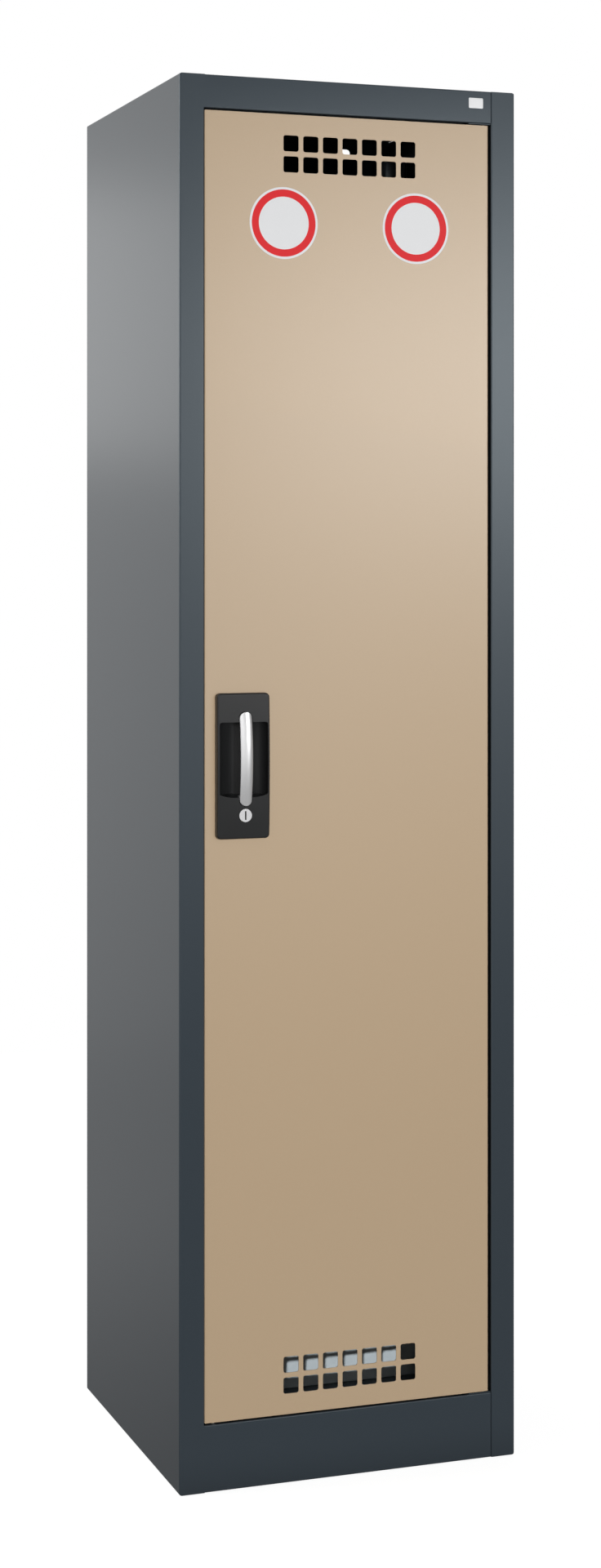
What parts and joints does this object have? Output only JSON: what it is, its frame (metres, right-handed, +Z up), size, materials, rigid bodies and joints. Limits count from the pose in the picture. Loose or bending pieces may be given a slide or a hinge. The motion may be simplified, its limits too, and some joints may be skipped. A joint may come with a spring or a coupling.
{
  "type": "environmental cabinet",
  "caption": "Tall narrow sheet-steel cabinet on a plinth, with a hinged vented door, a recessed grip, a lock that drives sliding rods, slotted rails, tray shelves and a floor sump.",
  "frame": {"origin": "on the floor, in the middle of the box that the whole cabinet takes, bow of the grip included", "axes": "+Z up, +X to the right as seen from the front, +Y from the door towards the back"},
  "size_m": [0.5, 0.5196, 1.95],
  "materials": {
    "anthracite_paint": "satin powder coat",
    "beige_paint": "satin powder coat",
    "galvanised_sheet": "galvanised",
    "zinc_steel": "zinc plated",
    "black_plastic": "fine moulded grain",
    "white_nylon": "smooth",
    "silver_metal": "satin",
    "black_rubber": "matt"
  },
  "bodies": {
    "cabinet": {"left_side": "anthracite_paint", "right_side": "anthracite_paint", "top_panel": "anthracite_paint", "floor_panel": "anthracite_paint", "rear_panel": "anthracite_paint", "shelf_rail_left_front": "galvanised_sheet", "shelf_rail_left_rear": "galvanised_sheet", "shelf_rail_right_front": "galvanised_sheet", "shelf_rail_right_rear": "galvanised_sheet", "shelf_1": "galvanised_sheet", "shelf_2": "galvanised_sheet", "shelf_3": "galvanised_sheet", "shelf_1_bracket_left_front": "zinc_steel", "shelf_1_bracket_left_rear": "zinc_steel", "shelf_1_bracket_right_front": "zinc_steel", "shelf_1_bracket_right_rear": "zinc_steel", "shelf_2_bracket_left_front": "zinc_steel", "shelf_2_bracket_left_rear": "zinc_steel", "shelf_2_bracket_right_front": "zinc_steel", "shelf_2_bracket_right_rear": "zinc_steel", "shelf_3_bracket_left_front": "zinc_steel", "shelf_3_bracket_left_rear": "zinc_steel", "shelf_3_bracket_right_front": "zinc_steel", "shelf_3_bracket_right_rear": "zinc_steel", "floor_sump": "galvanised_sheet", "hinge_plate_upper": "anthracite_paint", "hinge_plate_lower": "anthracite_paint", "hinge_pin_upper": "zinc_steel", "hinge_pin_lower": "zinc_steel", "rod_keeper_upper": "zinc_steel", "rod_keeper_lower": "zinc_steel", "door_buffer_upper": "black_rubber", "door_buffer_lower": "black_rubber"},
    "door": {"door_panel": "beige_paint", "door_stiffener": "beige_paint", "hinge_bush_upper": "black_plastic", "hinge_bush_lower": "black_plastic", "rod_guide_top": "white_nylon", "rod_guide_upper": "white_nylon", "rod_guide_lower": "white_nylon", "rod_guide_bottom": "white_nylon", "handle_housing": "black_plastic", "bow_handle": "silver_metal", "housing_screw_upper": "zinc_steel", "housing_screw_lower": "zinc_steel", "lock_barrel": "zinc_steel", "lock_case": "zinc_steel"},
    "lock": {"lock_plug": "silver_metal", "lock_cam": "zinc_steel", "lock_cam_screw": "zinc_steel"},
    "upper_rod": {"upper_rod": "zinc_steel", "upper_rod_tip": "white_nylon"},
    "lower_rod": {"lower_rod": "zinc_steel", "lower_rod_tip": "white_nylon"}
  },
  "joints": [
    {"name": "door_hinge", "type": "hinge", "parent": "cabinet", "child": "door", "pos_m": [0.2039, -0.23175, 0], "axis": [0, 0, 1], "range_deg": [0, 110]},
    {"name": "lock_turn", "type": "hinge", "parent": "door", "child": "lock", "pos_m": [-0.1576, -0.23775, 0.93], "axis": [0, 1, 0], "range_deg": [0, 90]},
    {"name": "upper_rod_slide", "type": "slide", "parent": "door", "child": "upper_rod", "axis": [0, 0, 1], "range_m": [0, 0.01626]},
    {"name": "lower_rod_slide", "type": "slide", "parent": "door", "child": "lower_rod", "axis": [0, 0, -1], "range_m": [0, 0.01626]}
  ],
  "couplings": [
    {"joint": "lock_turn", "follows": "upper_rod_slide", "rad_per_m": 96.58},
    {"joint": "lower_rod_slide", "follows": "upper_rod_slide", "ratio": 1}
  ]
}
